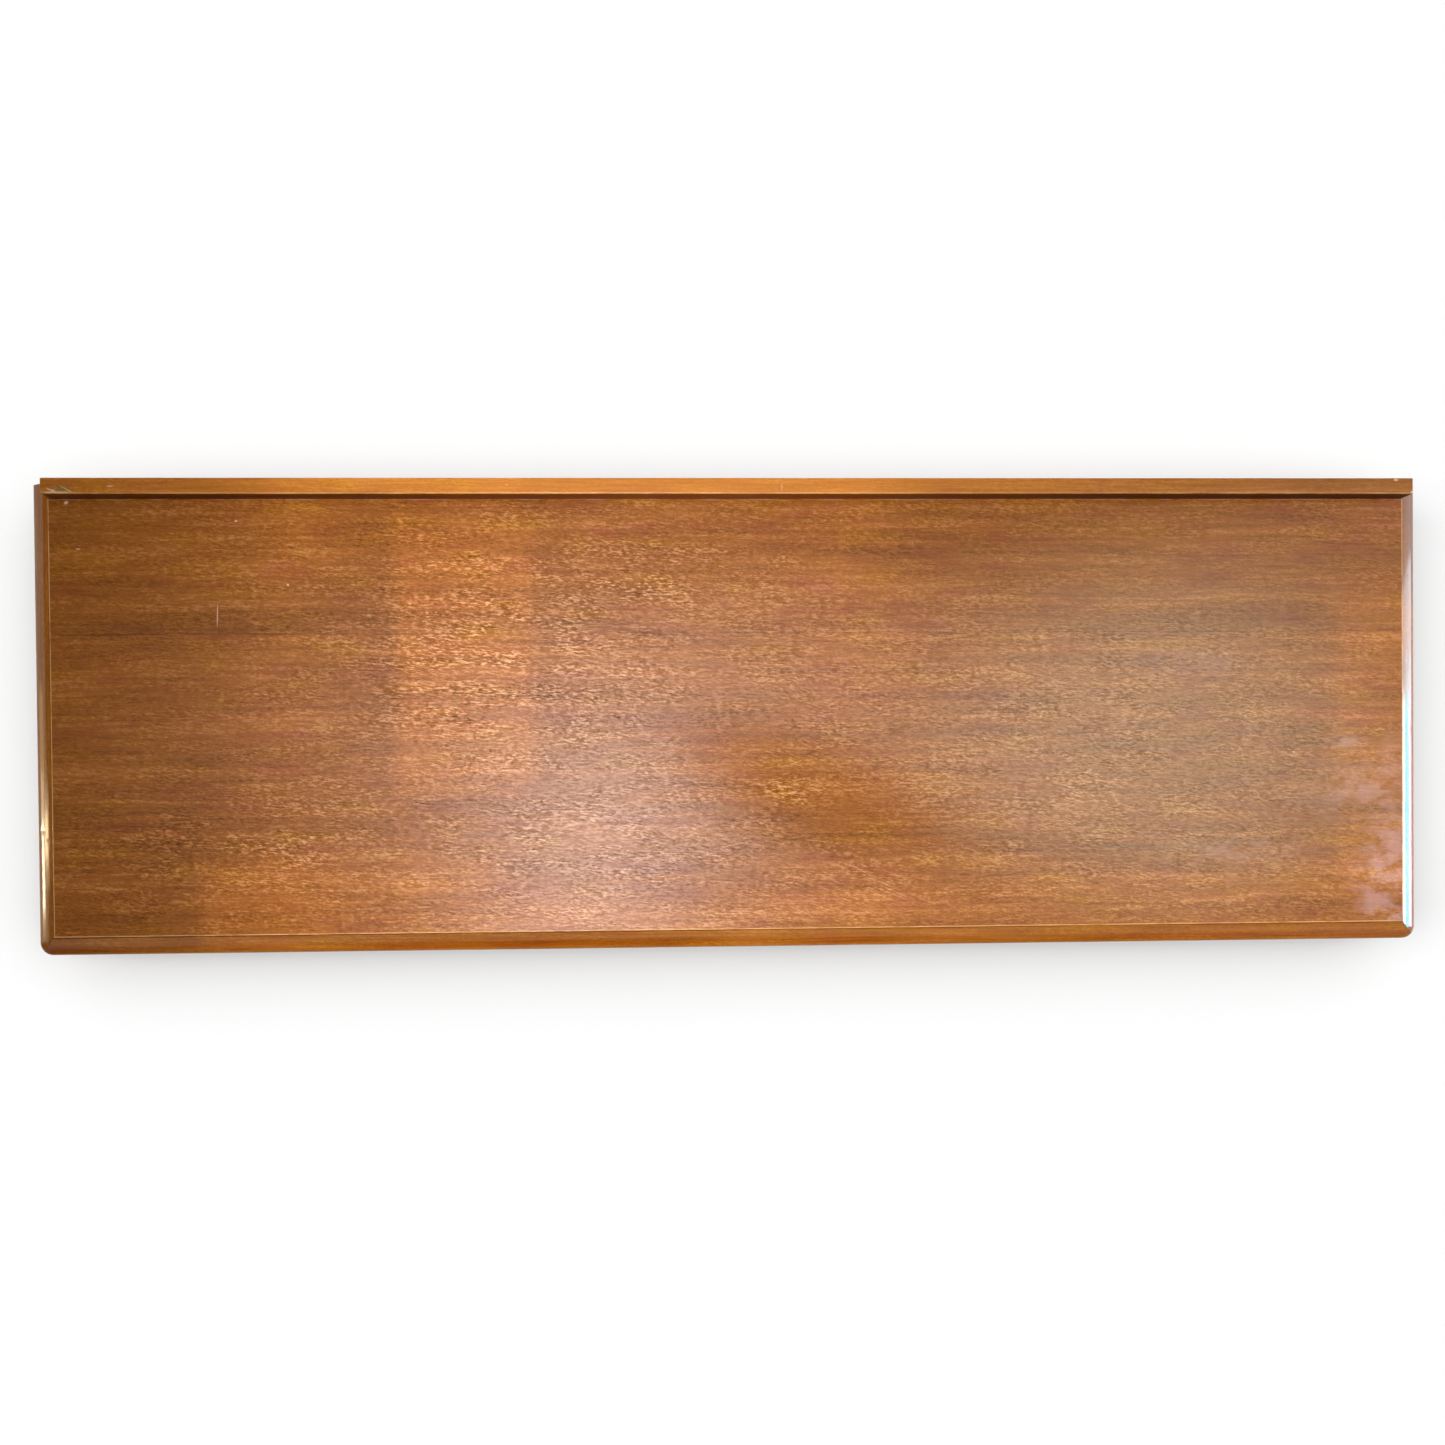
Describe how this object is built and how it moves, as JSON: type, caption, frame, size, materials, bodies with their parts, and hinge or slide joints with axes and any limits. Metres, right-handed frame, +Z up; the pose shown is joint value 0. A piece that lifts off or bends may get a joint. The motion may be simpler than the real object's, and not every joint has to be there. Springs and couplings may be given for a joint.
{
  "type": "cabinet top board",
  "caption": "Long rectangular wooden cabinet top with moulded front and end edges, rounded front corners, a low raised rail along the back, and fixing cleats underneath.",
  "frame": {"origin": "centre of the footprint, at the level of the cleats' feet", "axes": "+X along the board's length, +Y towards the raised back rail, +Z up, out of the face"},
  "size_m": [0.915, 0.305, 0.051],
  "materials": {
    "face_veneer": "satin lacquered mahogany veneer",
    "moulding": "satin lacquered solid mahogany",
    "back_rail": "satin lacquered solid mahogany",
    "backing_veneer": "plain sanded mahogany veneer",
    "crossband": "plain veneer",
    "core": "sawn softwood",
    "tongue": "plywood",
    "cleat": "planed beech",
    "screws": "dull"
  },
  "bodies": {
    "root": {"face_veneer": "face_veneer", "upper_crossband": "crossband", "lower_crossband": "crossband", "backing_veneer": "backing_veneer", "core_strip_1": "core", "core_strip_2": "core", "core_strip_3": "core", "core_strip_4": "core", "core_strip_5": "core", "core_strip_6": "core", "core_strip_7": "core", "core_strip_8": "core", "core_strip_9": "core", "core_strip_10": "core", "core_strip_11": "core", "front_moulding": "moulding", "left_moulding": "moulding", "right_moulding": "moulding", "back_lipping": "moulding", "front_tongue": "tongue", "back_tongue": "tongue", "left_tongue": "tongue", "right_tongue": "tongue", "back_rail": "back_rail", "rail_screws": "screws", "left_cleat": "cleat", "right_cleat": "cleat", "left_cleat_screws": "screws", "right_cleat_screws": "screws"}
  },
  "joints": []
}
